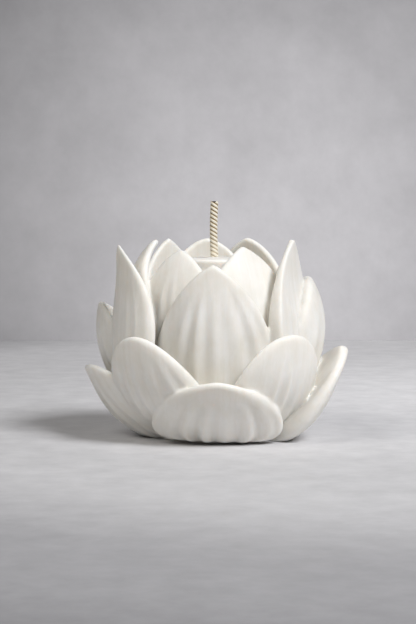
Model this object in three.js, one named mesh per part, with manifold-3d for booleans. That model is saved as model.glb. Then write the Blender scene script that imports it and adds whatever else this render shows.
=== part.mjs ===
// Lotus flower candle: a flower cast in white wax around a twisted cotton wick.
// Millimetres, +Z up. The flat foot stands on z = 0 and the wick stands on the Z axis.
// A petal's turn is counted in degrees from the front (-Y), positive towards +X.
import * as THREE from 'three';
import { mergeVertices } from 'three/addons/utils/BufferGeometryUtils.js';
import loadManifold from 'manifold-3d';

const wasm = await loadManifold();
wasm.setup();
const { Manifold, Mesh: ManifoldMesh } = wasm;
const radians = THREE.MathUtils.degToRad;

// Wax heart of the flower
const footRadius = 19;
const podRadius = 11.4;
const podTop = 61.3;
const podEdge = 0.9; // rounding of the flat top's rim
const podSides = 30;
// Radius and height pairs of the heart between the petals' roots, from the foot to the pod
const heartBelly = [[22, 5], [25, 10], [26, 18], [25, 30], [21, 41], [15, 51], [12.3, 56]];

// Wick
const wickTop = 80.7;
const strandCount = 3;
const wickRadius = 1.35; // over the crowns of the strands
const wickGroove = 0.22; // depth of the grooves between strands
const wickLay = 4.2; // height of one full turn of a strand
const wickSway = -0.3; // the free end bows this far to the side at half its height
const wickGap = 0.3;
const holeRadius = wickRadius + wickGap;
const meniscusRadius = 3.4; // wax that crept up around the wick
const meniscusRise = 0.7;

// Petal blade, where a petal has no value of its own
const blade = {
  thickness: 4.2,
  tipThinning: 0.5, // share of the thickness lost at the tip
  outerBevel: 2.8, // width of the soft bevel along the rim, outer face
  innerBevel: 1.6,
  bevelRoundness: 2, // 1 is a flat bevel, 2 a quarter circle
  ribHeight: 1, // crest to valley of the veins on the outer face
  ribPitch: 0.29, // in half widths of the petal
  ribPhase: 0, // in pitches
  ribTop: 0.88, // share of the length where the veins run out
  ribFade: 0.4,
  webDepth: 3, // wax that thickens the inner face towards the root
  webReach: 0.7,
  corner: 0, // radius of the rounded lower corners
  level: 0, // how far the lower edge is turned into the level
  tilt: 0,
  twist: 0,
};
const ribUnevenness = 0.5; // swing of the veins' spacing, in radians
const ribSwell = 0.3; // share by which some veins are taller or lower than others
const ribEdge = 0.92; // share of the half width where the veins end, and over which they fade
const ribEdgeFade = 0.3;
const ribRimFade = 4;
const lowerEdgeBevel = 0.5; // bevel of a free lower edge, as a share of the rim's
const petalRows = 8;
const cornerRows = [0.12, 0.35, 0.65, 1]; // extra rows over a rounded lower corner, in corner radii

// The four rings, from the lowest and widest to the bud around the pod. Lean is the angle from
// the vertical at root, middle and tip; rise and fall shape the outline below and above its widest.
const skirt = { ...blade, rootRadius: 15, rootHeight: 0.5, length: 43, lean: [80, 47, 14], width: 40,
  cupRadius: 28, rise: 0.6, fall: 0.5, rootShare: 0.45 };
const cup = { ...blade, rootRadius: 14, rootHeight: 3.7, length: 52, lean: [74, 36, -3], width: 38,
  cupRadius: 26, rise: 0.56, fall: 0.53, rootShare: 0.7 };
const tall = { ...blade, rootRadius: 16.5, rootHeight: 4.2, length: 64, lean: [35, 8, -6], width: 43,
  cupRadius: 24, rise: 0.6, fall: 0.8, rootShare: 0.7 };
const bud = { ...blade, rootRadius: 14, rootHeight: 11.7, length: 56, lean: [26, 7, -16], width: 40,
  cupRadius: 22, rise: 0.56, fall: 0.72, rootShare: 0.66 };

// Each ring of five is set between the petals of the ring outside it, and hand-made unevenness
// gives each petal its own spread, length and curl.
const petals = [
  { ...skirt, turn: 2, rootRadius: 21.8, rootHeight: 0.9, length: 28.5, lean: [40, 42, 34], width: 45.8,
    cupRadius: 40, rise: 0.2, fall: 0.6, rootShare: 0.85, tilt: 1.4, twist: -3, corner: 3.5, level: 0.85,
    ribHeight: 2.8, ribPhase: 0.5, ribTop: 0.75, ribFade: 0.75 },
  { ...skirt, turn: -84, rootRadius: 15.35, rootHeight: 0.6, length: 39.4, lean: [88, 46, 25], width: 35.2,
    cupRadius: 19, rise: 0.6, fall: 0.44, tilt: -9 },
  { ...skirt, turn: 85, rootRadius: 14.85, length: 46.2, lean: [88, 38, 22], width: 38, cupRadius: 40,
    rise: 0.7, fall: 0.6, rootShare: 0.4, tilt: -13, twist: 5, webDepth: 7, webReach: 1.3 },
  { ...skirt, turn: 147, rootRadius: 14 },
  { ...skirt, turn: -143, rootRadius: 14.5, length: 44 },
  { ...cup, turn: -42.5, length: 45.5, lean: [74, 39, 0], rootShare: 0.68, tilt: -1.5, twist: 4.5,
    thickness: 4.4, outerBevel: 3.4 },
  { ...cup, turn: 44.5, rootHeight: 2.2, length: 47, width: 36.5, cupRadius: 28, fall: 0.46, twist: -7,
    thickness: 4.6, outerBevel: 6, ribHeight: 1.4 },
  { ...cup, turn: -104, rootRadius: 14.5, rootHeight: 4.2, length: 53.2, lean: [66.4, 34.4, -11], width: 42,
    rise: 0.66, fall: 0.33, cupRadius: 19.5, tilt: -9.5, twist: 4.8, webDepth: 6, webReach: 1 },
  { ...cup, turn: 91, rootRadius: 12.7, length: 60.7, lean: [59, 23.3, -34], width: 44, cupRadius: 16.2,
    rise: 0.62, fall: 0.42, tilt: 0.7, twist: 6.5, thickness: 5.6, tipThinning: 0.35, outerBevel: 4,
    innerBevel: 0.8, webDepth: 8, webReach: 1.5 },
  { ...cup, turn: 180, rootRadius: 11.9, length: 52, lean: [74, 34, 0] },
  { ...tall, turn: 1.7, length: 58.5, lean: [34, 10, -3], width: 46.5, cupRadius: 23, tilt: -0.7, twist: -4,
    ribHeight: 1.1, ribPhase: -0.17, ribTop: 0.88, ribFade: 0.25 },
  { ...tall, turn: -67.5, rootRadius: 19.7, rootHeight: 3.7, length: 67.4, lean: [59.6, 2.9, 9], rise: 1.5,
    fall: 0.88, rootShare: 0.2, width: 34.8, cupRadius: 18.5, tilt: -0.9, twist: -3.5, tipThinning: 0.75,
    ribHeight: 0.45, ribPitch: 0.23, ribPhase: 0.2 },
  { ...tall, turn: 69, rootRadius: 20, rootHeight: 3.2, length: 66.9, lean: [41.6, -1.2, 8.3], width: 28.6,
    cupRadius: 70, rise: 1.1, fall: 0.79, rootShare: 0.4, twist: -2, outerBevel: 0.8, innerBevel: 0.8,
    thickness: 5.2, tipThinning: 0.75, webDepth: 8, webReach: 1.2 },
  { ...tall, turn: -143, rootHeight: 5.2, lean: [29, 8.6, -7] },
  { ...tall, turn: 149, rootHeight: 5.3, length: 65.4, lean: [31, 8, -28], width: 46, fall: 0.7, twist: 3 },
  { ...bud, turn: -36, rootRadius: 14.8, length: 55, lean: [23, 6, -30], cupRadius: 26, rootShare: 0.85,
    tilt: -1.4, twist: 9.3 },
  { ...bud, turn: 36.2, length: 56.9, lean: [33, 3.6, -27.7], width: 51, cupRadius: 29.3, rise: 0.615,
    fall: 0.85, rootShare: 0.645, tilt: -1.2, twist: -2.3 },
  { ...bud, turn: -82, rootRadius: 12.6, length: 62.3, lean: [34, 14, -52], width: 33, cupRadius: 17,
    fall: 0.8 },
  { ...bud, turn: 100, rootRadius: 15, length: 49, lean: [32, 10, -14] },
  { ...bud, turn: -173, rootRadius: 13, length: 57.2, lean: [28, 7.5, -9], width: 41.5, cupRadius: 20,
    rise: 0.62, fall: 0.62 },
];

// Lean of the petal's midrib at a share s of its length, a parabola through its three angles.
function leanAt(petal, s) {
  const [root, middle, tip] = petal.lean;
  return radians(root * (1 - s) * (1 - 2 * s) + 4 * middle * s * (1 - s) + tip * s * (2 * s - 1));
}

// Radius and height of the midrib, added up in short steps from the root.
function midribAt(petal, s) {
  const steps = 40;
  let radius = petal.rootRadius;
  let height = petal.rootHeight;
  for (let i = 0; i < steps; i++) {
    const lean = leanAt(petal, s * (i + 0.5) / steps);
    radius += Math.sin(lean) * petal.length * s / steps;
    height += Math.cos(lean) * petal.length * s / steps;
  }
  return { radius, height };
}

// Egg-shaped outline: 0 at both ends of x, 1 at its widest.
function outline(petal, x) {
  const widest = petal.rise / (petal.rise + petal.fall);
  return (x / widest) ** petal.rise * ((1 - x) / (1 - widest)) ** petal.fall;
}

// The blade starts where the outline has the root's share of the full width.
function outlineStart(petal) {
  let low = 0;
  let high = petal.rise / (petal.rise + petal.fall);
  for (let i = 0; i < 30; i++) {
    const middle = (low + high) / 2;
    if (outline(petal, middle) < petal.rootShare) low = middle;
    else high = middle;
  }
  return low;
}

function halfWidthAt(petal, s) {
  const start = outlineStart(petal);
  const half = petal.width / 2 * outline(petal, Math.min(start + (1 - start) * s, 1));
  if (!petal.corner) return half;
  const short = THREE.MathUtils.clamp(1 - s * petal.length / petal.corner, 0, 1);
  return half - petal.corner * (1 - Math.sqrt(1 - short * short));
}

// Height of the veins on the outer face: unevenly spaced crests that fade to the rim and the tip.
function ribAt(petal, s, u, rimDistance) {
  const fade = THREE.MathUtils.clamp((ribEdge - Math.abs(u)) / ribEdgeFade, 0, 1)
    * THREE.MathUtils.clamp((petal.ribTop - s) / petal.ribFade, 0, 1) * Math.min(rimDistance / ribRimFade, 1);
  const seed = petal.turn;
  const shift = ribUnevenness * Math.sin(4 * u + seed);
  const swell = 1 - ribSwell + ribSwell * Math.cos(7 * u + seed);
  const phase = 2 * Math.PI * (u / petal.ribPitch + petal.ribPhase) + shift;
  return petal.ribHeight / 2 * fade * swell * Math.cos(phase);
}

// Point on a petal: s runs from root to tip, u from rim to rim, side is 1 on the outer face.
function petalPoint(petal, s, u, side) {
  const lean = leanAt(petal, s);
  const { radius, height } = midribAt(petal, s);
  const halfWidth = halfWidthAt(petal, s);
  const step = 1e-3;
  const before = Math.max(s - step, 0);
  const after = Math.min(s + step, 1);
  const slope = (halfWidthAt(petal, after) - halfWidthAt(petal, before)) / ((after - before) * petal.length);
  const rimDistance = (1 - Math.abs(u)) * halfWidth / Math.hypot(1, slope);

  const thinning = 1 - petal.tipThinning * THREE.MathUtils.smoothstep(s, 0.5, 1);
  const half = petal.thickness / 2 * thinning;
  const bevel = (side > 0 ? petal.outerBevel : petal.innerBevel) * Math.min(1, thinning + 0.1);
  // A petal with rounded lower corners is bevelled along its lower edge too.
  const edgeDistance = petal.corner ? Math.min(rimDistance, s * petal.length / lowerEdgeBevel) : rimDistance;
  const inset = Math.max(1 - edgeDistance / bevel, 0);
  let offset = half * Math.max(1 - inset ** petal.bevelRoundness, 0) ** (1 / petal.bevelRoundness);
  if (side > 0) offset += ribAt(petal, s, u, rimDistance);
  else offset += petal.webDepth * (1 - THREE.MathUtils.smoothstep(s, 0.05, petal.webReach)) * (1 - u * u);

  // Across, the blade is an arc of the cup radius that curls towards the flower's axis.
  const angle = halfWidth * u / petal.cupRadius;
  const inward = petal.cupRadius * (1 - Math.cos(angle)) - side * offset * Math.cos(angle);
  const level = petal.level * (1 - s) ** 2;
  let along = radius - petal.rootRadius - inward * (Math.cos(lean) * (1 - level) + level);
  let across = (petal.cupRadius + side * offset) * Math.sin(angle);
  let up = height - petal.rootHeight + Math.sin(lean) * inward * (1 - level);

  const tilt = radians(petal.tilt);
  [across, up] = [across * Math.cos(tilt) + up * Math.sin(tilt), up * Math.cos(tilt) - across * Math.sin(tilt)];
  const twist = radians(petal.twist);
  [along, across] = [along * Math.cos(twist) - across * Math.sin(twist),
    along * Math.sin(twist) + across * Math.cos(twist)];
  const turn = radians(petal.turn);
  const out = petal.rootRadius + along;
  return [out * Math.sin(turn) + across * Math.cos(turn),
    across * Math.sin(turn) - out * Math.cos(turn), petal.rootHeight + up];
}

// Columns on the veins' crests and valleys, then a few over the bevelled rim.
function petalColumns(petal) {
  const half = [];
  for (let i = 1; i <= 5; i++) half.push(i * petal.ribPitch / 2);
  half.push(0.84, 0.94, 1);
  return [...half.map((u) => -u).reverse(), 0, ...half];
}

// Rows from root to tip, closer together over a rounded lower corner.
function petalRowShares(petal) {
  const rows = [];
  for (let i = 0; i <= petalRows; i++) rows.push(1 - (1 - i / petalRows) ** 1.6);
  if (!petal.corner) return rows;
  const near = cornerRows.map((share) => share * petal.corner / petal.length);
  return [0, ...near, ...rows.filter((s) => s > near[near.length - 1] + 0.03)];
}

// Closed blade: the outer face has every column and the inner face every second one.
function petalSolid(petal) {
  const columns = petalColumns(petal);
  const last = columns.length - 1;
  const rows = petalRowShares(petal);
  const outer = rows.map((s) => columns.map((u) => petalPoint(petal, s, u, 1)));
  const inner = rows.map((s, i) => columns.map((u, j) =>
    (j === 0 || j === last ? outer[i][j] : petalPoint(petal, s, u, -1))));
  const corners = [];
  const face = (a, b, c) => corners.push(...a, ...b, ...c);
  for (let i = 0; i + 1 < rows.length; i++) {
    for (let j = 0; j < last; j++) {
      face(outer[i][j], outer[i][j + 1], outer[i + 1][j + 1]);
      face(outer[i][j], outer[i + 1][j + 1], outer[i + 1][j]);
    }
    for (let j = 0; j < last; j += 2) {
      face(inner[i][j], inner[i + 1][j + 2], inner[i][j + 2]);
      face(inner[i][j], inner[i + 1][j], inner[i + 1][j + 2]);
    }
  }
  for (let j = 0; j < last; j += 2) {
    face(outer[0][j], inner[0][j], outer[0][j + 1]);
    face(outer[0][j + 1], inner[0][j], inner[0][j + 2]);
    face(outer[0][j + 1], inner[0][j + 2], outer[0][j + 2]);
  }
  const geometry = new THREE.BufferGeometry();
  geometry.setAttribute('position', new THREE.Float32BufferAttribute(corners, 3));
  return toSolid(geometry);
}

// A closed three.js geometry as a solid, its shared corners merged and flat slivers left out.
function toSolid(geometry) {
  geometry.deleteAttribute('normal');
  geometry.deleteAttribute('uv');
  const merged = mergeVertices(geometry, 1e-4);
  const index = Array.from(merged.index.array);
  const triangles = [];
  for (let i = 0; i < index.length; i += 3) {
    const [a, b, c] = index.slice(i, i + 3);
    if (a !== b && b !== c && c !== a) triangles.push(a, b, c);
  }
  return new Manifold(new ManifoldMesh({
    numProp: 3,
    vertProperties: Float32Array.from(merged.attributes.position.array),
    triVerts: Uint32Array.from(triangles),
  }));
}

function toGeometry(solid) {
  const mesh = solid.getMesh();
  const geometry = new THREE.BufferGeometry();
  geometry.setAttribute('position', new THREE.Float32BufferAttribute(Array.from(mesh.vertProperties), 3));
  geometry.setIndex(Array.from(mesh.triVerts));
  geometry.computeVertexNormals();
  return geometry;
}

// Body turned around the Z axis from [radius, height] pairs that start and end on the axis.
function turned(profile, sides) {
  const points = profile.map(([radius, height]) => new THREE.Vector2(radius, height));
  return new THREE.LatheGeometry(points, sides).rotateX(Math.PI / 2);
}

function waxSolid() {
  const heart = toSolid(turned([
    [0, -1], [footRadius, -1], [footRadius, 1], ...heartBelly, [podRadius, podTop - 3],
    [podRadius, podTop - podEdge], [podRadius - 0.3 * podEdge, podTop - 0.3 * podEdge],
    [podRadius - podEdge, podTop], [meniscusRadius, podTop], [holeRadius, podTop + meniscusRise],
    [0, podTop + meniscusRise],
  ], podSides));
  let wax = heart;
  for (const petal of petals) wax = wax.add(petalSolid(petal));
  const below = toSolid(new THREE.BoxGeometry(200, 200, 20).translate(0, 0, -10));
  const hole = toSolid(new THREE.CylinderGeometry(holeRadius, holeRadius, 200, 16).rotateX(Math.PI / 2));
  wax = wax.subtract(below).subtract(hole);
  // Pockets closed in between the roots are solid wax.
  return wax.decompose().reduce((whole, piece) => (piece.volume() > whole.volume() ? piece : whole));
}

// Angle of a strand at a height: the strands run down to the right, as in an S-laid cord.
function strandTurn(z) {
  return -2 * Math.PI * z / wickLay;
}

// Straight inside the wax, where the strands are packed, and wound above it.
function wickSolid() {
  const pointsAround = 4 * strandCount;
  const stepHeight = wickLay / strandCount / 4;
  const levels = [];
  for (let z = wickTop; z > podTop - 2; z -= stepHeight) levels.push(z);
  levels.push(wickGap);
  levels.reverse();
  const corners = [];
  const rings = levels.map((z, i) => {
    const turn = strandTurn(i === 0 ? levels[1] : z);
    const sway = wickSway * Math.sin(Math.PI * Math.max(z - podTop, 0) / (wickTop - podTop));
    return Array.from({ length: pointsAround }, (_, k) => {
      const angle = 2 * Math.PI * k / pointsAround;
      const radius = wickRadius - wickGroove * (1 - Math.cos(strandCount * (angle - turn))) / 2;
      return [sway + radius * Math.cos(angle), radius * Math.sin(angle), z];
    });
  });
  const face = (a, b, c) => corners.push(...a, ...b, ...c);
  for (let i = 0; i + 1 < rings.length; i++) {
    for (let k = 0; k < pointsAround; k++) {
      const next = (k + 1) % pointsAround;
      face(rings[i][k], rings[i][next], rings[i + 1][next]);
      face(rings[i][k], rings[i + 1][next], rings[i + 1][k]);
    }
  }
  const top = rings[rings.length - 1];
  for (let k = 1; k + 1 < pointsAround; k++) {
    face(rings[0][0], rings[0][k + 1], rings[0][k]);
    face(top[0], top[k], top[k + 1]);
  }
  const geometry = new THREE.BufferGeometry();
  geometry.setAttribute('position', new THREE.Float32BufferAttribute(corners, 3));
  return toSolid(geometry);
}

const wax = new THREE.MeshStandardMaterial({ name: 'white wax', color: 0xeceae2, roughness: 0.45 });
const cotton = new THREE.MeshStandardMaterial({ name: 'waxed cotton', color: 0xd9c39a, roughness: 0.85 });

const candle = new THREE.Group();
candle.name = 'lotus_flower_candle';

const waxFlower = new THREE.Mesh(toGeometry(waxSolid()), wax);
waxFlower.name = 'wax_flower';
candle.add(waxFlower);

const wick = new THREE.Mesh(toGeometry(wickSolid()), cotton);
wick.name = 'wick';
candle.add(wick);

export default candle;
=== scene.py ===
import math

import bmesh
import bpy
import numpy as np
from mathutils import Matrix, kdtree


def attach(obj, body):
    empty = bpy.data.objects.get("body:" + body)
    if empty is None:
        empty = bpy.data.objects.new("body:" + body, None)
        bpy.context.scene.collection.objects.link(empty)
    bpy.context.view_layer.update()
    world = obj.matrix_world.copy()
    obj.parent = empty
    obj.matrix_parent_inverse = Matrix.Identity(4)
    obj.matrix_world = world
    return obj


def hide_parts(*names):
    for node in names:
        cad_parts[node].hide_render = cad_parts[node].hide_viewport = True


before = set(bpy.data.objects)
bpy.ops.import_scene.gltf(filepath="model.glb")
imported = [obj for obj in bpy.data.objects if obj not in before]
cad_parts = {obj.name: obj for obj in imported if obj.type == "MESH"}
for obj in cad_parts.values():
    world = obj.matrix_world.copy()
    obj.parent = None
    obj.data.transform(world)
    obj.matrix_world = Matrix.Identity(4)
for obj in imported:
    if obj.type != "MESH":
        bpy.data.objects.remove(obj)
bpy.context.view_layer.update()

# Lotus flower candle: white wax cast as an open lotus around a twisted cotton wick.
# Sizes are written in millimetres and turned into metres where Blender takes them.
mm = 0.001


def hexColor(text):
    # sRGB hex value to the linear colour that shaders take
    parts = [int(text[i:i + 2], 16) / 255 for i in (1, 3, 5)]
    return tuple(c / 12.92 if c <= 0.04045 else ((c + 0.055) / 1.055) ** 2.4 for c in parts) + (1.0,)


def metres(sizes):
    return tuple(size * mm for size in sizes)


def addNode(tree, kind, settings=None, inputs=None, links=None):
    # One node with its settings, its socket values and the links that come into it
    node = tree.nodes.new(kind)
    for key, value in (settings or {}).items():
        setattr(node, key, value)
    for key, value in (inputs or {}).items():
        node.inputs[key].default_value = value
    for key, source in (links or {}).items():
        tree.links.new(source, node.inputs[key])
    return node


def newMaterial(name):
    material = bpy.data.materials.new(name)
    material.use_nodes = True
    tree = material.node_tree
    tree.nodes.clear()
    return material, tree


def setRamp(node, stops):
    # Places and sRGB hex colours along a colour ramp
    ramp = node.color_ramp
    while len(ramp.elements) < len(stops):
        ramp.elements.new(1.0)
    for element, (place, color) in zip(ramp.elements, stops):
        element.position = place
        element.color = hexColor(color)


def meshObject(name, verts, faces, smooth=True):
    mesh = bpy.data.meshes.new(name)
    mesh.from_pydata([tuple(v) for v in verts], [], faces)
    mesh.update()
    if smooth:
        mesh.polygons.foreach_set("use_smooth", [True] * len(mesh.polygons))
    piece = bpy.data.objects.new(name, mesh)
    bpy.context.scene.collection.objects.link(piece)
    return piece


def applyModifiers(piece):
    depsgraph = bpy.context.evaluated_depsgraph_get()
    mesh = bpy.data.meshes.new_from_object(piece.evaluated_get(depsgraph))
    old = piece.data
    piece.modifiers.clear()
    piece.data = mesh
    mesh.name = piece.name
    bpy.data.meshes.remove(old)


# Camera: a short telephoto a little above the candle, tipped down a few degrees.
# The focal length, the horizon's row and the column of the candle's axis are in pixels.
view = {"imageWidth": 416, "imageHeight": 624, "focalPixels": 1950, "horizonRow": 166, "axisColumn": 214.5,
        "distance": 667, "eyeHeight": 92.7, "sensorHeight": 36, "nearClip": 50, "farClip": 20000}


def addCamera():
    data = bpy.data.cameras.new("camera")
    data.sensor_fit = "VERTICAL"
    data.sensor_height = view["sensorHeight"]
    data.lens = view["sensorHeight"] * view["focalPixels"] / view["imageHeight"]
    data.clip_start = view["nearClip"] * mm
    data.clip_end = view["farClip"] * mm
    camera = bpy.data.objects.new("camera", data)
    pitch = math.atan((view["imageHeight"] / 2 - view["horizonRow"]) / view["focalPixels"])
    aside = (view["imageWidth"] / 2 - view["axisColumn"]) / view["focalPixels"] * view["distance"]
    camera.location = metres((aside, -view["distance"], view["eyeHeight"]))
    camera.rotation_euler = (math.pi / 2 - pitch, 0, 0)
    bpy.context.scene.collection.objects.link(camera)
    bpy.context.scene.camera = camera


addCamera()
print("camera set")


# Petals: turn is counted from the front (-Y) towards +X, lean is the angle from the vertical at
# root, middle and tip, and rise and fall shape the outline below and above its widest.
# Rib pitch is in half widths of the petal, rib top, rib fade and web reach in shares of its length.
blade = dict(thickness=4.2, tipThinning=0.5, outerBevel=2.8, innerBevel=1.6, bevelRoundness=2.0,
             ribHeight=1.0, ribPitch=0.29, ribPhase=0, ribTop=0.88, ribFade=0.4,  # veins, outer face
             webDepth=3.0, webReach=0.7,  # wax that fills the inner face towards the root
             corner=0, level=0, tilt=0, twist=0)  # corner: radius of rounded lower corners
skirt = dict(blade, rootRadius=15, rootHeight=0.5, length=43, lean=(80, 47, 14), width=40,
             cupRadius=28, rise=0.6, fall=0.5, rootShare=0.45)
cup = dict(blade, rootRadius=14, rootHeight=3.7, length=52, lean=(74, 36, -3), width=38,
           cupRadius=26, rise=0.56, fall=0.53, rootShare=0.7)
tall = dict(blade, rootRadius=16.5, rootHeight=4.2, length=64, lean=(35, 8, -6), width=43,
            cupRadius=24, rise=0.6, fall=0.8, rootShare=0.7)
bud = dict(blade, rootRadius=14, rootHeight=11.7, length=56, lean=(26, 7, -16), width=40,
           cupRadius=22, rise=0.56, fall=0.72, rootShare=0.66)
# Four rings of five: skirt, cup, tall and bud. Each petal has its own spread, length and curl,
# since the real flower was modelled by hand.
petals = [
    dict(skirt, turn=2, rootRadius=21.8, rootHeight=0.9, length=28.5, lean=(40, 42, 34), width=45.8,
         cupRadius=40, rise=0.2, fall=0.6, rootShare=0.85, tilt=1.4, twist=-3, corner=3.5, level=0.85,
         ribHeight=2.8, ribPhase=0.5, ribTop=0.75, ribFade=0.75),
    dict(skirt, turn=-84, rootRadius=15.35, rootHeight=0.6, length=39.4, lean=(88, 46, 25), width=35.2,
         cupRadius=19, rise=0.6, fall=0.44, tilt=-9),
    dict(skirt, turn=85, rootRadius=14.85, length=46.2, lean=(88, 38, 22), width=38, cupRadius=40,
         rise=0.7, fall=0.6, rootShare=0.4, tilt=-13, twist=5, webDepth=7, webReach=1.3),
    dict(skirt, turn=147, rootRadius=14),
    dict(skirt, turn=-143, rootRadius=14.5, length=44),
    dict(cup, turn=-42.5, length=45.5, lean=(74, 39, 0), rootShare=0.68, tilt=-1.5, twist=4.5,
         thickness=4.4, outerBevel=3.4),
    dict(cup, turn=44.5, rootHeight=2.2, length=47, width=36.5, cupRadius=28, fall=0.46, twist=-7,
         thickness=4.6, outerBevel=6, ribHeight=1.4),
    dict(cup, turn=-104, rootRadius=14.5, rootHeight=4.2, length=53.2, lean=(66.4, 34.4, -11),
         width=42, rise=0.66, fall=0.33, cupRadius=19.5, tilt=-9.5, twist=4.8, webDepth=6, webReach=1),
    dict(cup, turn=91, rootRadius=12.7, length=60.7, lean=(59, 23.3, -34), width=44, cupRadius=16.2,
         rise=0.62, fall=0.42, tilt=0.7, twist=6.5, thickness=5.6, tipThinning=0.35, outerBevel=4,
         innerBevel=0.8, webDepth=8, webReach=1.5),
    dict(cup, turn=180, rootRadius=11.9, length=52, lean=(74, 34, 0)),
    dict(tall, turn=1.7, length=58.5, lean=(34, 10, -3), width=46.5, cupRadius=23, tilt=-0.7, twist=-4,
         ribHeight=1.1, ribPhase=-0.17, ribTop=0.88, ribFade=0.25),
    dict(tall, turn=-67.5, rootRadius=19.7, rootHeight=3.7, length=67.4, lean=(59.6, 2.9, 9),
         rise=1.5, fall=0.88, rootShare=0.2, width=34.8, cupRadius=18.5, tilt=-0.9, twist=-3.5,
         tipThinning=0.75, ribHeight=0.45, ribPitch=0.23, ribPhase=0.2),
    dict(tall, turn=69, rootRadius=20, rootHeight=3.2, length=66.9, lean=(41.6, -1.2, 8.3), width=28.6,
         cupRadius=70, rise=1.1, fall=0.79, rootShare=0.4, twist=-2, outerBevel=0.8, innerBevel=0.8,
         thickness=5.2, tipThinning=0.75, webDepth=8, webReach=1.2),
    dict(tall, turn=-143, rootHeight=5.2, lean=(29, 8.6, -7)),
    dict(tall, turn=149, rootHeight=5.3, length=65.4, lean=(31, 8, -28), width=46, fall=0.7, twist=3),
    dict(bud, turn=-36, rootRadius=14.8, length=55, lean=(23, 6, -30), cupRadius=26, rootShare=0.85,
         tilt=-1.4, twist=9.3),
    dict(bud, turn=36.2, length=56.9, lean=(33, 3.6, -27.7), width=51, cupRadius=29.3, rise=0.615,
         fall=0.85, rootShare=0.645, tilt=-1.2, twist=-2.3),
    dict(bud, turn=-82, rootRadius=12.6, length=62.3, lean=(34, 14, -52), width=33, cupRadius=17, fall=0.8),
    dict(bud, turn=100, rootRadius=15, length=49, lean=(32, 10, -14)),
    dict(bud, turn=-173, rootRadius=13, length=57.2, lean=(28, 7.5, -9), width=41.5, cupRadius=20,
         rise=0.62, fall=0.62),
]

# How every petal is carved
carving = {"ribShift": 0.5, "ribShiftPace": 4,  # uneven spacing of the veins, in radians
           "ribSwell": 0.3, "ribSwellPace": 7,  # some veins stand taller than others
           "ribEdge": 0.92, "ribEdgeFade": 0.3,  # where the veins end across the petal, in half widths
           "ribRimFade": 4,  # mm from the rim over which they fade
           "thinFrom": 0.5, "webFrom": 0.05,  # shares of the length where thinning and web begin
           "bevelSpare": 0.1,  # the bevel shrinks this much less than the blade thins
           "lowerEdgeBevel": 0.5}  # bevel of a free lower edge, as a share of the rim's


def outline(petal, x):
    # Egg-shaped: 0 at both ends of x, 1 at its widest
    widest = petal["rise"] / (petal["rise"] + petal["fall"])
    rest = np.maximum(1 - x, 0)
    return (x / widest) ** petal["rise"] * (rest / (1 - widest)) ** petal["fall"]


def outlineStart(petal):
    # The blade starts where the outline has the root's share of the full width
    low, high = 0.0, petal["rise"] / (petal["rise"] + petal["fall"])
    for _ in range(30):
        middle = (low + high) / 2
        if outline(petal, middle) < petal["rootShare"]:
            low = middle
        else:
            high = middle
    return low


def halfWidthAt(petal, s):
    start = outlineStart(petal)
    half = petal["width"] / 2 * outline(petal, np.minimum(start + (1 - start) * s, 1))
    if petal["corner"]:
        short = np.clip(1 - s * petal["length"] / petal["corner"], 0, 1)
        half = half - petal["corner"] * (1 - np.sqrt(1 - short ** 2))
    return half


def midrib(petal, s, steps=400):
    # Radius, height and lean of the midrib at shares s of its length
    root, middle, tip = petal["lean"]

    def leanAt(t):
        return np.radians(root * (1 - t) * (1 - 2 * t) + 4 * middle * t * (1 - t) + tip * t * (2 * t - 1))

    t = (np.arange(steps) + 0.5) / steps
    grid = np.arange(steps + 1) / steps
    radius = petal["rootRadius"] + np.append(0, np.cumsum(np.sin(leanAt(t)))) * petal["length"] / steps
    height = petal["rootHeight"] + np.append(0, np.cumsum(np.cos(leanAt(t)))) * petal["length"] / steps
    return np.interp(s, grid, radius), np.interp(s, grid, height), leanAt(s)


def smoothstep(x, low, high):
    x = np.clip((x - low) / (high - low), 0, 1)
    return x * x * (3 - 2 * x)


def rimDistanceAt(petal, s, u, halfWidth, step=1e-3):
    before, after = np.maximum(s - step, 0), np.minimum(s + step, 1)
    slope = (halfWidthAt(petal, after) - halfWidthAt(petal, before)) / ((after - before) * petal["length"])
    return (1 - np.abs(u)) * halfWidth / np.hypot(1, slope)


def ribAt(petal, s, u, rimDistance):
    # Veins on the outer face, crests and valleys that fade towards the rim and the tip
    fade = np.clip((carving["ribEdge"] - np.abs(u)) / carving["ribEdgeFade"], 0, 1)
    fade = fade * np.clip((petal["ribTop"] - s) / petal["ribFade"], 0, 1)
    fade = fade * np.minimum(rimDistance / carving["ribRimFade"], 1)
    seed = petal["turn"]
    shift = carving["ribShift"] * np.sin(carving["ribShiftPace"] * u + seed)
    swell = 1 - carving["ribSwell"] + carving["ribSwell"] * np.cos(carving["ribSwellPace"] * u + seed)
    wave = np.cos(2 * np.pi * (u / petal["ribPitch"] + petal["ribPhase"]) + shift) * swell
    return petal["ribHeight"] / 2 * fade * wave


def offsetAt(petal, s, u, side, halfWidth):
    # How far a face stands off the middle of the blade
    rimDistance = rimDistanceAt(petal, s, u, halfWidth)
    edgeDistance = rimDistance
    if petal["corner"]:
        edgeDistance = np.minimum(rimDistance, s * petal["length"] / carving["lowerEdgeBevel"])
    thinning = 1 - petal["tipThinning"] * smoothstep(s, carving["thinFrom"], 1)
    bevel = petal["outerBevel"] if side > 0 else petal["innerBevel"]
    inset = np.maximum(1 - edgeDistance / (bevel * np.minimum(1, thinning + carving["bevelSpare"])), 0)
    power = petal["bevelRoundness"]
    offset = petal["thickness"] / 2 * thinning * np.maximum(1 - inset ** power, 0) ** (1 / power)
    if side > 0:
        return offset + ribAt(petal, s, u, rimDistance)
    web = 1 - smoothstep(s, carving["webFrom"], petal["webReach"])
    return offset + petal["webDepth"] * web * (1 - u * u)


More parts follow.
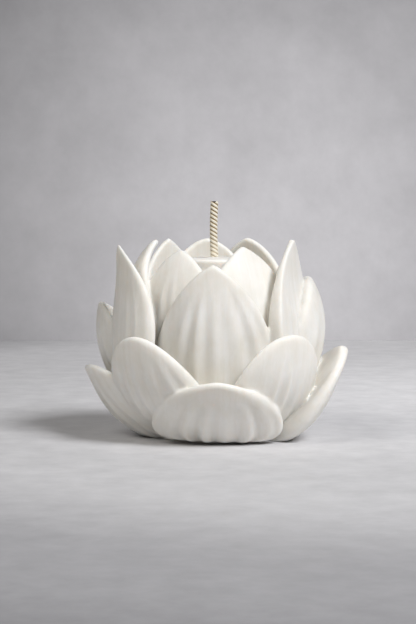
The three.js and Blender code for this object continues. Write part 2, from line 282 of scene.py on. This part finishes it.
def petalFace(petal, s, u, side):
    # Points of a petal's outer (side 1) or inner (side -1) face, s from root to tip, u across.
    # Across, the blade is an arc of the cup radius that curls towards the flower's axis.
    radius, height, lean = midrib(petal, s)
    halfWidth = halfWidthAt(petal, s)
    offset = offsetAt(petal, s, u, side, halfWidth)
    angle = halfWidth * u / petal["cupRadius"]
    inward = petal["cupRadius"] * (1 - np.cos(angle)) - side * offset * np.cos(angle)
    level = petal["level"] * (1 - s) ** 2  # turns the lower edge into the level
    along = radius - petal["rootRadius"] - inward * (np.cos(lean) * (1 - level) + level)
    across = (petal["cupRadius"] + side * offset) * np.sin(angle)
    up = height - petal["rootHeight"] + np.sin(lean) * inward * (1 - level)

    tilt, twist, turn = (math.radians(petal[key]) for key in ("tilt", "twist", "turn"))
    across, up = (across * math.cos(tilt) + up * math.sin(tilt),
                  up * math.cos(tilt) - across * math.sin(tilt))
    along, across = (along * math.cos(twist) - across * math.sin(twist),
                     along * math.sin(twist) + across * math.cos(twist))
    out = petal["rootRadius"] + along
    return np.stack([out * math.sin(turn) + across * math.cos(turn),
                     across * math.sin(turn) - out * math.cos(turn),
                     petal["rootHeight"] + up], -1)


def petalMesh(petal, rows=110, columns=72, tipPacking=1.4):
    # Closed blade: both faces on one grid, rows closer at the tip, joined along rims, tip and root
    shares = 1 - (1 - np.linspace(0, 1, rows + 1)) ** tipPacking
    u = np.sin(np.linspace(-1, 1, columns + 1) * np.pi / 2)
    s, u = np.meshgrid(shares, u, indexing="ij")
    outer = petalFace(petal, s, u, 1)
    inner = petalFace(petal, s, u, -1)
    verts = np.concatenate([outer.reshape(-1, 3), inner.reshape(-1, 3)])
    width = columns + 1
    count = (rows + 1) * width
    faces = []
    for i in range(rows):
        for j in range(columns):
            a = i * width + j
            faces.append((a, a + 1, a + width + 1, a + width))
            b = count + a
            faces.append((b, b + width, b + width + 1, b + 1))
        for j, flip in ((0, False), (columns, True)):
            a, b = i * width + j, count + i * width + j
            quad = (a, a + width, b + width, b)
            faces.append(quad[::-1] if flip else quad)
    for j in range(columns):
        faces.append((j, count + j, count + j + 1, j + 1))
    return verts, faces


# Heart: the turned body between the petals' roots, from the foot to the flat pod.
# The belly's pairs are radius and height. The foot goes below the floor and is cut flat later.
heart = {"footRadius": 19, "footDepth": 2, "footEdge": 1,
         "belly": [(22, 5), (25, 10), (26, 18), (25, 30), (21, 41), (15, 51), (12.3, 56)],
         "podRadius": 11.4, "podTop": 61.3, "podNeck": 3, "podEdge": 0.9, "podEdgeSteps": 6,
         "holeRadius": 1.5, "collarRadius": 3.2, "collarRise": 0.7, "collarCurve": 2.2, "collarSteps": 8,
         "sides": 96}


def heartMesh():
    # Pod edge rounded by a quarter circle, and a collar of wax that crept up the wick
    h = heart
    profile = [(h["holeRadius"], -h["footDepth"]), (h["footRadius"], -h["footDepth"]),
               (h["footRadius"], h["footEdge"])] + h["belly"] + [(h["podRadius"], h["podTop"] - h["podNeck"])]
    for k in range(h["podEdgeSteps"] + 1):
        angle = math.pi / 2 * k / h["podEdgeSteps"]
        profile.append((h["podRadius"] - h["podEdge"] * (1 - math.cos(angle)),
                        h["podTop"] - h["podEdge"] * (1 - math.sin(angle))))
    for k in range(h["collarSteps"] + 1):
        t = k / h["collarSteps"]
        radius = h["collarRadius"] + (h["holeRadius"] - h["collarRadius"]) * t
        profile.append((radius, h["podTop"] + h["collarRise"] * t ** h["collarCurve"]))
    sides = h["sides"]
    angles = 2 * np.pi * np.arange(sides) / sides
    verts = [(r * math.cos(a), r * math.sin(a), z) for r, z in profile for a in angles]
    faces = []
    count = len(profile)
    for i in range(count):
        for k in range(sides):
            a, b = i * sides + k, i * sides + (k + 1) % sides
            c, d = ((i + 1) % count) * sides + (k + 1) % sides, ((i + 1) % count) * sides + k
            faces.append((a, b, c, d))
    return np.array(verts), faces


# Wax flower: all blades and the heart melt into one skin, softened like cast wax
casting = {"weldDistance": 0.0001, "voxel": 0.42, "softenSteps": 5, "softenShare": 0.5,
           "mostTriangles": 190000}


def meltTogether(piece):
    weld = piece.modifiers.new("weld", "WELD")
    weld.merge_threshold = casting["weldDistance"] * mm
    remesh = piece.modifiers.new("remesh", "REMESH")
    remesh.mode = "VOXEL"
    remesh.voxel_size = casting["voxel"] * mm
    remesh.use_smooth_shade = True
    applyModifiers(piece)
    print("remeshed:", len(piece.data.polygons), "faces")

    soften = piece.modifiers.new("soften", "SMOOTH")
    soften.factor = casting["softenShare"]
    soften.iterations = casting["softenSteps"]
    triangles = 2 * len(piece.data.polygons)
    if triangles > casting["mostTriangles"]:
        fewer = piece.modifiers.new("fewer", "DECIMATE")
        fewer.ratio = casting["mostTriangles"] / triangles
    applyModifiers(piece)


def findShells(work):
    # Groups of joined vertices, the largest first
    left, shells = set(work.verts), []
    while left:
        queue, shell = [left.pop()], set()
        while queue:
            vert = queue.pop()
            shell.add(vert)
            for edge in vert.link_edges:
                other = edge.other_vert(vert)
                if other in left:
                    left.discard(other)
                    queue.append(other)
        shells.append(shell)
    return sorted(shells, key=len, reverse=True)


def keepOuterSkin(piece):
    # Pockets closed in between the roots are solid wax, and the foot is cut flat on the floor
    work = bmesh.new()
    work.from_mesh(piece.data)
    pockets = findShells(work)[1:]
    bmesh.ops.delete(work, geom=[vert for pocket in pockets for vert in pocket], context="VERTS")
    for vert in work.verts:
        vert.co.z = max(vert.co.z, 0)
    work.to_mesh(piece.data)
    work.free()
    piece.data.polygons.foreach_set("use_smooth", [True] * len(piece.data.polygons))
    piece.data.update()
    print("wax flower:", len(piece.data.polygons), "faces,", len(pockets), "pockets filled")


# Samples on each face of a petal, and what sets one petal's streaks apart from the next one's
streakGrid = {"along": 56, "across": 35, "petalStep": 40.0, "sideStep": 20}


def markPetals(piece):
    # Where each point lies on its own petal: mm across, mm along and a number for the petal's face
    grid = streakGrid
    s, u = np.meshgrid(np.linspace(0, 1, grid["along"]), np.linspace(-1, 1, grid["across"]), indexing="ij")
    places, points = [], []
    for number, petal in enumerate(petals):
        across, along = u * halfWidthAt(petal, s), s * petal["length"]
        for side in (1, -1):
            face = np.full_like(s, grid["petalStep"] * number + grid["sideStep"] * side)
            points.append(petalFace(petal, s, u, side).reshape(-1, 3))
            places.append(np.stack([across, along, face], -1).reshape(-1, 3))
    points, places = np.concatenate(points) * mm, np.concatenate(places)
    tree = kdtree.KDTree(len(points))
    for k, point in enumerate(points):
        tree.insert(point, k)
    tree.balance()
    nearest = [tree.find(vert.co)[1] for vert in piece.data.vertices]
    place = piece.data.attributes.new("petalPlace", "FLOAT_VECTOR", "POINT")
    place.data.foreach_set("vector", places[nearest].ravel())


def makeWaxFlower():
    verts, faces, start = [], [], 0
    for partVerts, partFaces in [heartMesh()] + [petalMesh(petal) for petal in petals]:
        verts.append(partVerts)
        faces += [tuple(start + k for k in face) for face in partFaces]
        start += len(partVerts)
    piece = meshObject("wax_flower_cast", np.concatenate(verts) * mm, faces)
    meltTogether(piece)
    keepOuterSkin(piece)
    markPetals(piece)
    return piece


waxFlower = makeWaxFlower()


# Wick: cotton strands laid down to the right, cut off at the top.
# Lay is the height of one turn, and the free end bows aside by the sway at half its height.
wickCord = {"bottom": 0.3, "top": 80.7, "strands": 3, "strandRadius": 0.74, "layRadius": 0.64,
            "lay": 4.2, "sway": -0.3, "step": 0.18, "sides": 22,
            "fibreSlant": 0.5, "strandShift": 7.0}  # slant of the fibres, and what sets strands apart


def wickBow(z):
    # The cord is straight in the wax and bows above it
    free = max(z - heart["podTop"], 0) / (wickCord["top"] - heart["podTop"])
    return wickCord["sway"] * math.sin(math.pi * free)


def makeWick():
    w = wickCord
    heights = np.arange(w["bottom"], w["top"] + 1e-6, w["step"])
    rows, sides, radius = len(heights), w["sides"], w["strandRadius"]
    rise = w["lay"] / (2 * math.pi * w["layRadius"])  # slope of a strand's centre line
    verts, faces, crowns, fibres = [], [], [], []
    for k in range(w["strands"]):
        start = len(verts)
        for z in heights:
            turn = 2 * math.pi * k / w["strands"] - 2 * math.pi * z / w["lay"]
            bow = wickBow(z)
            centre = np.array([bow + w["layRadius"] * math.cos(turn), w["layRadius"] * math.sin(turn), z])
            outward = np.array([math.cos(turn), math.sin(turn), 0])
            forward = np.array([math.sin(turn), -math.cos(turn), rise])
            forward /= np.linalg.norm(forward)
            aside = np.cross(forward, outward)
            for j in range(sides):
                angle = 2 * math.pi * j / sides
                vert = centre + radius * (math.cos(angle) * outward + math.sin(angle) * aside)
                verts.append(vert)
                # 1 on a strand's crown, less in the grooves, where the cord's material paints shade
                crowns.append(math.hypot(vert[0] - bow, vert[1]) / (w["layRadius"] + radius))
                fibres.append((radius * min(angle, 2 * math.pi - angle),
                               z + w["fibreSlant"] * radius * angle, w["strandShift"] * k))
        for i in range(rows - 1):
            for j in range(sides):
                a, b = start + i * sides + j, start + i * sides + (j + 1) % sides
                faces.append((a, b, b + sides, a + sides))
        faces.append(tuple(start + j for j in reversed(range(sides))))
        faces.append(tuple(start + (rows - 1) * sides + j for j in range(sides)))
    verts = np.array(verts)
    verts[:, 2] = np.clip(verts[:, 2], w["bottom"], w["top"])  # cut square at both ends
    piece = meshObject("twisted_wick", verts * mm, faces)
    crown = piece.data.attributes.new("crown", "FLOAT", "POINT")
    crown.data.foreach_set("value", crowns)
    fibrePlace = piece.data.attributes.new("fibrePlace", "FLOAT_VECTOR", "POINT")
    fibrePlace.data.foreach_set("vector", np.array(fibres).ravel())
    return piece


wick = makeWick()
print("wick made")


def perMetre(size):
    # Noise scale that gives features of this many millimetres
    return 1000 / size


waxLook = {"cloud": 11, "grain": 0.9, "streakWidth": 1.5, "streakLength": 24,  # mm
           "tones": [(0.3, "#e9e6df"), (0.7, "#f1efeb")],
           "streakTones": [(0.3, "#f9f8f5"), (0.65, "#ffffff")], "streakShare": 0.9,
           "satin": (0.42, 0.56), "ior": 1.44, "specular": 0.4,  # satin: roughness from and to
           "scatterDepth": 1.8, "scatterTint": (1.0, 0.92, 0.84),  # red light goes deepest
           "streakRelief": 0.12, "grainRelief": 0.08}  # mm


def waxMaterial():
    # Cast paraffin: light goes a few millimetres in and comes out softer, the skin is satin with
    # faint streaks along each petal from the mould
    look = waxLook
    material, tree = newMaterial("cast_white_wax")
    place = addNode(tree, "ShaderNodeTexCoord")
    petalPlace = addNode(tree, "ShaderNodeAttribute", {"attribute_name": "petalPlace"})
    streakPlace = addNode(tree, "ShaderNodeVectorMath", {"operation": "MULTIPLY"},
                          {1: (1 / look["streakWidth"], 1 / look["streakLength"], 1)},
                          {0: petalPlace.outputs["Vector"]})
    streak = addNode(tree, "ShaderNodeTexNoise", inputs={"Scale": 1, "Detail": 3, "Roughness": 0.6},
                     links={"Vector": streakPlace.outputs["Vector"]})
    cloud = addNode(tree, "ShaderNodeTexNoise",
                    inputs={"Scale": perMetre(look["cloud"]), "Detail": 4, "Roughness": 0.6},
                    links={"Vector": place.outputs["Object"]})
    grain = addNode(tree, "ShaderNodeTexNoise",
                    inputs={"Scale": perMetre(look["grain"]), "Detail": 3, "Roughness": 0.6},
                    links={"Vector": place.outputs["Object"]})
    tone = addNode(tree, "ShaderNodeValToRGB", links={"Fac": cloud.outputs["Fac"]})
    setRamp(tone, look["tones"])
    veined = addNode(tree, "ShaderNodeValToRGB", links={"Fac": streak.outputs["Fac"]})
    setRamp(veined, look["streakTones"])
    color = addNode(tree, "ShaderNodeMix", {"data_type": "RGBA", "blend_type": "MULTIPLY"},
                    {"Factor": look["streakShare"]},
                    {"A": tone.outputs["Color"], "B": veined.outputs["Color"]})
    smooth, dull = look["satin"]
    gloss = addNode(tree, "ShaderNodeMapRange", inputs={"To Min": smooth, "To Max": dull},
                    links={"Value": cloud.outputs["Fac"]})
    relief = addNode(tree, "ShaderNodeBump", inputs={"Strength": 0.5, "Distance": look["streakRelief"] * mm},
                     links={"Height": streak.outputs["Fac"]})
    pits = addNode(tree, "ShaderNodeBump", inputs={"Strength": 0.35, "Distance": look["grainRelief"] * mm},
                   links={"Height": grain.outputs["Fac"], "Normal": relief.outputs["Normal"]})
    shader = addNode(tree, "ShaderNodeBsdfPrincipled",
                     inputs={"Subsurface Weight": 1.0, "Subsurface Radius": look["scatterTint"],
                             "Subsurface Scale": look["scatterDepth"] * mm, "IOR": look["ior"],
                             "Specular IOR Level": look["specular"]},
                     links={"Base Color": color.outputs["Result"], "Roughness": gloss.outputs["Result"],
                            "Normal": pits.outputs["Normal"]})
    addNode(tree, "ShaderNodeOutputMaterial", links={"Surface": shader.outputs["BSDF"]})
    return material


# Sizes in mm, tones from painted shade deep in the grooves to the cotton's own cream on the crowns, and the
# heights between which the wax that the cord's foot soaked up runs out
cottonLook = {"fibreWidth": 0.14, "fibreLength": 1.1, "fluff": 0.22, "fibreRelief": 0.1,
              "tones": [(0.76, "#2e2114"), (0.85, "#6b5233"), (0.92, "#d3c19c"), (1.0, "#fbf6e8")],
              "soakedTone": "#efe6d2", "soakedShare": 0.55, "soakedHeights": (60, 72),
              "roughness": 0.7, "ior": 1.5}


def cottonMaterial():
    # Twisted cotton soaked in wax: pale crowns with fine fibres, grooves painted dark brown as shade, lighter
    # at its foot
    look = cottonLook
    material, tree = newMaterial("waxed_cotton_cord")
    crown = addNode(tree, "ShaderNodeAttribute", {"attribute_name": "crown"})
    fibrePlace = addNode(tree, "ShaderNodeAttribute", {"attribute_name": "fibrePlace"})
    place = addNode(tree, "ShaderNodeTexCoord")
    stretched = addNode(tree, "ShaderNodeVectorMath", {"operation": "MULTIPLY"},
                        {1: (1 / look["fibreWidth"], 1 / look["fibreLength"], 1)},
                        {0: fibrePlace.outputs["Vector"]})
    fibre = addNode(tree, "ShaderNodeTexNoise", inputs={"Scale": 1, "Detail": 3, "Roughness": 0.6},
                    links={"Vector": stretched.outputs["Vector"]})
    fluff = addNode(tree, "ShaderNodeMath", {"operation": "MULTIPLY_ADD"},
                    {1: look["fluff"], 2: -look["fluff"] / 2}, {0: fibre.outputs["Fac"]})
    paintedGrooveShade = addNode(tree, "ShaderNodeMath", {"operation": "ADD"},
                    links={0: crown.outputs["Fac"], 1: fluff.outputs["Value"]})
    # Painted shade: the tone runs from near black deep in the grooves to cream on the crowns
    tone = addNode(tree, "ShaderNodeValToRGB", links={"Fac": paintedGrooveShade.outputs["Value"]})
    setRamp(tone, look["tones"])
    height = addNode(tree, "ShaderNodeSeparateXYZ", links={"Vector": place.outputs["Object"]})
    low, high = metres(look["soakedHeights"])
    soaked = addNode(tree, "ShaderNodeMapRange",
                     inputs={"From Min": low, "From Max": high, "To Min": look["soakedShare"], "To Max": 0.0},
                     links={"Value": height.outputs["Z"]})
    color = addNode(tree, "ShaderNodeMix", {"data_type": "RGBA"}, {"B": hexColor(look["soakedTone"])},
                    {"Factor": soaked.outputs["Result"], "A": tone.outputs["Color"]})
    bump = addNode(tree, "ShaderNodeBump", inputs={"Strength": 0.6, "Distance": look["fibreRelief"] * mm},
                   links={"Height": fibre.outputs["Fac"]})
    shader = addNode(tree, "ShaderNodeBsdfPrincipled",
                     inputs={"Roughness": look["roughness"], "IOR": look["ior"]},
                     links={"Base Color": color.outputs["Result"], "Normal": bump.outputs["Normal"]})
    addNode(tree, "ShaderNodeOutputMaterial", links={"Surface": shader.outputs["BSDF"]})
    return material


waxFlower.data.materials.append(waxMaterial())
wick.data.materials.append(cottonMaterial())
for piece, node, slot in ((waxFlower, "wax_flower", "wax"), (wick, "wick", "wick")):
    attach(piece, "root")
    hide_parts(node)
print("materials set")


# Floor and backdrop: matte boards with painted light, each lightest around its centre and painted darker out
# to its reach
room = {"halfWidth": 1600, "wallBehind": 368, "wallHeight": 1200}
# The floor's tones are a painted pool of light that darkens to grey far from its centre
floorLook = {"tones": [(0.0, "#706f71"), (0.28, "#a4a3a5"), (0.5, "#cfcecf"), (1.0, "#f0eff0")],
             "centre": (90, 120, 0), "reach": (450, 500, 1000), "roughness": 0.6, "cloud": 12}
# The wall's tones are painted light and shade, dark towards its far corners
wallLook = {"tones": [(0.0, "#4e4d4f"), (1.0, "#d6d4d6")],
            "centre": (30, 368, 50), "reach": (330, 1000, 320), "roughness": 0.8, "cloud": 30}


def boardMaterial(name, look, clearRear=False):
    # Painted board: matte, with painted light that is lightest around a centre and darker out to its reach,
    # and a faint uneven coat that keeps it from looking flat
    material, tree = newMaterial(name)
    place = addNode(tree, "ShaderNodeTexCoord")
    offset = addNode(tree, "ShaderNodeMapping", {"vector_type": "TEXTURE"},
                     {"Location": metres(look["centre"]), "Scale": metres(look["reach"])},
                     {"Vector": place.outputs["Object"]})
    # Painted light and shade: a spherical pool that the tones turn from lightest at the centre to darkest at
    # the reach
    spread = addNode(tree, "ShaderNodeTexGradient", {"gradient_type": "SPHERICAL"},
                     links={"Vector": offset.outputs["Vector"]})
    fade = addNode(tree, "ShaderNodeValToRGB", links={"Fac": spread.outputs["Fac"]})
    fade.color_ramp.interpolation = "EASE"
    setRamp(fade, look["tones"])
    cloud = addNode(tree, "ShaderNodeTexNoise",
                    inputs={"Scale": perMetre(look["cloud"]), "Detail": 6, "Roughness": 0.65},
                    links={"Vector": place.outputs["Object"]})
    uneven = addNode(tree, "ShaderNodeValToRGB", links={"Fac": cloud.outputs["Fac"]})
    setRamp(uneven, [(0.3, "#ececec"), (0.7, "#ffffff")])
    color = addNode(tree, "ShaderNodeMix", {"data_type": "RGBA", "blend_type": "MULTIPLY"}, {"Factor": 1},
                    {"A": fade.outputs["Color"], "B": uneven.outputs["Color"]})
    shader = addNode(tree, "ShaderNodeBsdfPrincipled", inputs={"Roughness": look["roughness"]},
                     links={"Base Color": color.outputs["Result"]})
    surface = shader.outputs["BSDF"]
    if clearRear:  # so that the flower can be seen from behind the board
        side = addNode(tree, "ShaderNodeNewGeometry")
        clear = addNode(tree, "ShaderNodeBsdfTransparent")
        mixed = addNode(tree, "ShaderNodeMixShader",
                        links={0: side.outputs["Backfacing"], 1: surface, 2: clear.outputs["BSDF"]})
        surface = mixed.outputs["Shader"]
    addNode(tree, "ShaderNodeOutputMaterial", links={"Surface": surface})
    return material


def addBoard(name, corners, material):
    board = meshObject(name, [metres(corner) for corner in corners], [(0, 1, 2, 3)], smooth=False)
    board.data.materials.append(material)


half, behind, top = room["halfWidth"], room["wallBehind"], room["wallHeight"]
addBoard("floor", [(-half, -half, 0), (half, -half, 0), (half, behind, 0), (-half, behind, 0)],
         boardMaterial("pale_matte_floor", floorLook))
addBoard("backdrop", [(-half, behind, 0), (half, behind, 0), (half, behind, top), (-half, behind, top)],
         boardMaterial("pale_grey_wall", wallLook, clearRear=True))
print("floor and backdrop set")


# Light: one soft panel high at the front right, a weak one at the left, and a little from all round
panels = {"key": {"place": (800, -800, 1170), "size": 540, "watts": 25.5, "color": "#fbfcff"},
          "fill": {"place": (-520, -460, 720), "size": 500, "watts": 3.3, "color": "#fffdf9"}}
panelTarget = (0, 0, 30)
roomLight = {"color": "#fbf8f4", "strength": 0.07}


def addPanel(name, panel):
    data = bpy.data.lights.new(name, "AREA")
    data.shape = "SQUARE"
    data.size = panel["size"] * mm
    data.energy = panel["watts"]
    data.color = hexColor(panel["color"])[:3]
    light = bpy.data.objects.new(name, data)
    light.location = metres(panel["place"])
    x, y, z = np.array(panelTarget) - np.array(panel["place"])
    light.rotation_euler = (math.atan2(math.hypot(x, y), -z), 0, math.atan2(y, x) - math.pi / 2)
    bpy.context.scene.collection.objects.link(light)


for name, panel in panels.items():
    addPanel(name, panel)
world = bpy.data.worlds.new("studio")
world.use_nodes = True
background = world.node_tree.nodes["Background"]
background.inputs["Color"].default_value = hexColor(roomLight["color"])
background.inputs["Strength"].default_value = roomLight["strength"]
bpy.context.scene.world = world
bpy.context.scene.view_settings.view_transform = "Standard"
print("lights set")
